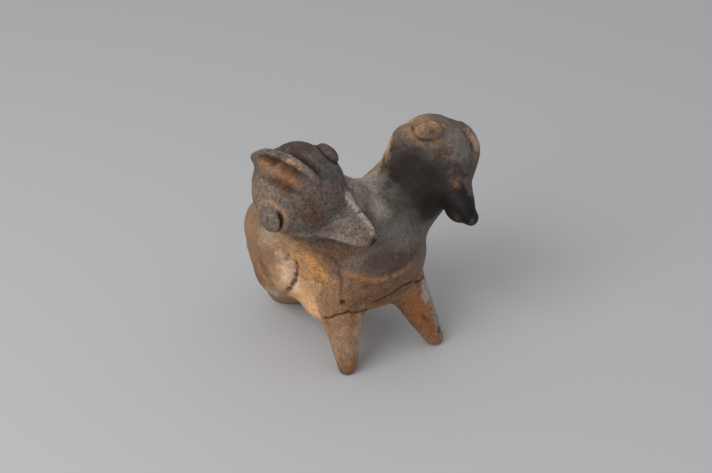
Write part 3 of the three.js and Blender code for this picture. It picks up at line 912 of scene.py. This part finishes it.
# Fine cracks over the pale flank: how many cells to a mm, and how wide a crack's line is
crackle = {"where": (-16.5, -8, 29), "half": (6, 9, 9), "much": 0.7, "cells": 0.21, "line": 0.05}
tones = {
    "smoke": "#5f554d", "slip": "#a3744d", "wearAndHighlight": "#bcb1a2", "grimeAndShade": "#2e2119", "craze": "#5d3d28",
}
# How far iron in the clay strengthens red and weakens blue
iron = (1.4, 1.0, 0.72)


def addMath(tree, operation, first, second, third=0.0):
    node = addNode(tree, "ShaderNodeMath", operation=operation)
    fill(tree, node.inputs, (first, second, third))
    return node.outputs[0]


def addVector(tree, operation, first, second=(0, 0, 0), out="Vector"):
    node = addNode(tree, "ShaderNodeVectorMath", operation=operation)
    fill(tree, node.inputs, (first, second))
    return node.outputs[out]


def addMix(tree, share, below, above):
    node = addNode(tree, "ShaderNodeMix", data_type="RGBA", blend_type="MIX")
    fill(tree, (node.inputs[0], node.inputs[6], node.inputs[7]), (share, below, above))
    return node.outputs[2]


def addNoise(tree, coords, speck, out="Fac"):
    node = addNode(tree, "ShaderNodeTexNoise", {
        "Vector": coords, "Scale": speck["size"], "Detail": speck["detail"],
        "Roughness": speck.get("rough", 0.55)})
    return node.outputs[out]


def addRange(tree, value, seen, gives, smooth=False):
    node = addNode(tree, "ShaderNodeMapRange", {
        "Value": value, "From Min": seen[0], "From Max": seen[1], "To Min": gives[0], "To Max": gives[1],
    }, interpolation_type="SMOOTHSTEP" if smooth else "LINEAR")
    return node.outputs["Result"]


# Specks and blotches in the clay: size is how often each repeats in a mm, seen is the part of the
# noise that shows, and gives is what it turns into. Grit of a real clay is finer than a pixel of
# the photo, so it is drawn coarser here
specks = {
    "broadWander": {"size": 0.16, "detail": 2.0, "by": 9.0},
    "brokenWander": {"size": 0.9, "detail": 3.0, "rough": 0.7, "by": 3.4},
    "smoke": {"size": 0.055, "detail": 2.0, "seen": (0.5, 0.66), "gives": (0, 0.55), "smooth": True},
    "blotch": {"size": 0.42, "detail": 3.0, "rough": 0.65, "seen": (0.3, 0.7), "gives": (0.76, 1.24)},
    "grit": {"size": 1.4, "detail": 3.0, "rough": 0.7, "seen": (0.34, 0.66), "gives": (0.62, 1.38)},
    "pits": {"size": 1.1, "detail": 2.0, "rough": 0.6, "seen": (0.6, 0.7), "gives": (1, 0.5)},
    "fine": {"size": 3.4, "detail": 2.0, "rough": 0.6, "seen": (0.34, 0.66), "gives": (0.78, 1.22)},
    "rust": {"size": 0.95, "detail": 3.0, "rough": 0.75, "seen": (0.5, 0.68), "gives": (0, 0.5)},
    "slipLeft": {"size": 0.8, "detail": 3.0, "rough": 0.7, "seen": (0.32, 0.62), "gives": (0, 1)},
    "wearAndHighlightPatches": {"size": 1.3, "detail": 3.0, "rough": 0.7, "seen": (0.4, 0.6), "gives": (0, 1)},
    "sheen": {"size": 0.7, "detail": 3.0, "seen": (0.3, 0.7), "gives": (0.5, 0.72)},
    "grain": {"size": 1.9, "detail": 3.0, "rough": 0.65},
    "swells": {"size": 0.6, "detail": 2.0, "by": 0.8},
}


def addSpeck(tree, coords, name):
    speck = specks[name]
    return addRange(
        tree, addNoise(tree, coords, speck), speck["seen"], speck["gives"], speck.get("smooth", False))


# How far a cloud's edge wanders from its ellipsoid
def addWander(tree, coords, name):
    shift = addVector(tree, "SUBTRACT", addNoise(tree, coords, specks[name], "Color"), (0.5, 0.5, 0.5))
    return addVector(tree, "MULTIPLY", shift, (specks[name]["by"],) * 3)


# How much of each spot lies in an ellipsoid with a soft edge
def addPatch(tree, coords, patch, soft=0.3):
    offset = addVector(tree, "DIVIDE", addVector(tree, "SUBTRACT", coords, patch["where"]), patch["half"])
    far = addVector(tree, "LENGTH", offset, out="Value")
    return addRange(tree, far, (1 - soft, 1 + soft), (patch.get("much", 1.0), 0), smooth=True)


# Smoke and flame clouds, and the painted shade among them, run into each other, with soft, broken edges
def addFireCloudsAndShade(tree, warped):
    colour = addMix(tree, addSpeck(tree, warped, "smoke"), linear(base), linear(tones["smoke"]))
    for cloud in clouds:
        share = addPatch(tree, warped, cloud, cloud.get("soft", 0.4))
        colour = addMix(tree, share, colour, linear(cloud["colour"]))
    return colour


# Grit and pits make the clay lighter and darker, least where it was burnished, and iron reddens it
def addGrit(tree, inMm, colour):
    coarse = addMath(tree, "MULTIPLY", addSpeck(tree, inMm, "blotch"), addSpeck(tree, inMm, "grit"))
    level = addMath(tree, "MULTIPLY", coarse, addSpeck(tree, inMm, "pits"))
    for place in burnished:
        calm = addPatch(tree, inMm, place)
        level = addMath(tree, "MULTIPLY_ADD", level, addMath(tree, "SUBTRACT", 1.0, calm), calm)
    level = addMath(tree, "MULTIPLY", level, addSpeck(tree, inMm, "fine"))
    reddened = addVector(tree, "MULTIPLY", colour, iron)
    colour = addMix(tree, addSpeck(tree, inMm, "rust"), colour, reddened)
    grey = addNode(tree, "ShaderNodeCombineXYZ", {"X": level, "Y": level, "Z": level}).outputs[0]
    return addVector(tree, "MULTIPLY", colour, grey)


# What the hand and time rubbed in, with painted light: slip and wear with painted highlight come off in
# patches, grime with painted shade stays in the creases
def addRubs(tree, inMm, colour):
    kept = {"slip": addSpeck(tree, inMm, "slipLeft"), "wearAndHighlight": addSpeck(tree, inMm, "wearAndHighlightPatches"),
            "grimeAndShade": 0.85}
    for kind, share in kept.items():
        rubbedIn = addNode(tree, "ShaderNodeAttribute", attribute_name=kind).outputs["Fac"]
        share = addMath(tree, "MULTIPLY", rubbedIn, share)
        colour = addMix(tree, share, colour, linear(tones[kind]))
    return colour


def addCrackle(tree, warped, colour):
    toCrack = addNode(
        tree, "ShaderNodeTexVoronoi", {"Vector": warped, "Scale": crackle["cells"]},
        feature="DISTANCE_TO_EDGE").outputs["Distance"]
    line = addRange(tree, toCrack, (0.0, crackle["line"]), (1, 0))
    share = addMath(tree, "MULTIPLY", line, addPatch(tree, warped, crackle))
    return addMix(tree, share, colour, linear(tones["craze"]))


# Burnished, low-fired earthenware: a dull sheen over a fine, slightly uneven grain
def makeClay(name):
    material = bpy.data.materials.new(name)
    material.use_nodes = True
    tree = material.node_tree
    shader = tree.nodes["Principled BSDF"]
    coords = addNode(tree, "ShaderNodeTexCoord").outputs["Object"]
    inMm = addVector(tree, "MULTIPLY", coords, (1 / mm, 1 / mm, 1 / mm))
    wander = addVector(
        tree, "ADD", addWander(tree, inMm, "broadWander"), addWander(tree, inMm, "brokenWander"))
    warped = addVector(tree, "ADD", inMm, wander)
    colour = addGrit(tree, inMm, addFireCloudsAndShade(tree, warped))
    colour = addCrackle(tree, warped, addRubs(tree, inMm, colour))
    tree.links.new(colour, shader.inputs["Base Color"])
    shader.inputs["IOR"].default_value = 1.45
    shader.inputs["Specular IOR Level"].default_value = 0.25
    tree.links.new(addSpeck(tree, inMm, "sheen"), shader.inputs["Roughness"])
    swells = addMath(tree, "MULTIPLY", addNoise(tree, inMm, specks["swells"]), specks["swells"]["by"])
    height = addMath(tree, "ADD", addNoise(tree, inMm, specks["grain"]), swells)
    bump = addNode(
        tree, "ShaderNodeBump", {"Strength": 0.55, "Distance": 0.22 * mm, "Height": height})
    tree.links.new(bump.outputs["Normal"], shader.inputs["Normal"])
    return material


# One clay material for every piece; each piece is shaded smooth, attached to the root, and hides the node
# it replaces
clayMaterial = makeClay("fireCloudedEarthenware")
for name, piece in pieces.items():
    piece.data.materials.clear()
    piece.data.materials.append(clayMaterial)
    pick(piece)
    bpy.ops.object.shade_smooth_by_angle(angle=radians(40))
    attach(piece, "root")
    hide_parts(replaced[name])
print("clay finished on", len(pieces), "pieces")

# Floor, backdrop and lights
stage = {
    "floor": "#bbbbbc", "world": 0.56, "key": 2.1, "keyPlace": (-0.43, -0.1, 0.42), "keySize": 0.4,
}


def makeStage():
    deselectAll()
    bpy.ops.mesh.primitive_plane_add(size=4, location=(0, 0, 0))
    floor = bpy.context.object
    floor.name = "floor"
    material = bpy.data.materials.new("paleFloor")
    material.use_nodes = True
    shader = material.node_tree.nodes["Principled BSDF"]
    shader.inputs["Base Color"].default_value = linear(stage["floor"])
    shader.inputs["Roughness"].default_value = 0.9
    floor.data.materials.append(material)
    world = bpy.data.worlds.new("studio")
    bpy.context.scene.world = world
    world.use_nodes = True
    background = world.node_tree.nodes["Background"]
    background.inputs["Color"].default_value = linear("#fbfcff")
    background.inputs["Strength"].default_value = stage["world"]
    bpy.ops.object.light_add(type="AREA", location=stage["keyPlace"])
    lamp = bpy.context.object
    lamp.name = "softBox"
    lamp.data.size = stage["keySize"]
    lamp.data.energy = stage["key"]
    lamp.rotation_euler = (Vector((0, 0, 0.03)) - lamp.location).to_track_quat("-Z", "Y").to_euler()


makeStage()
bpy.context.scene.view_settings.view_transform = "Standard"
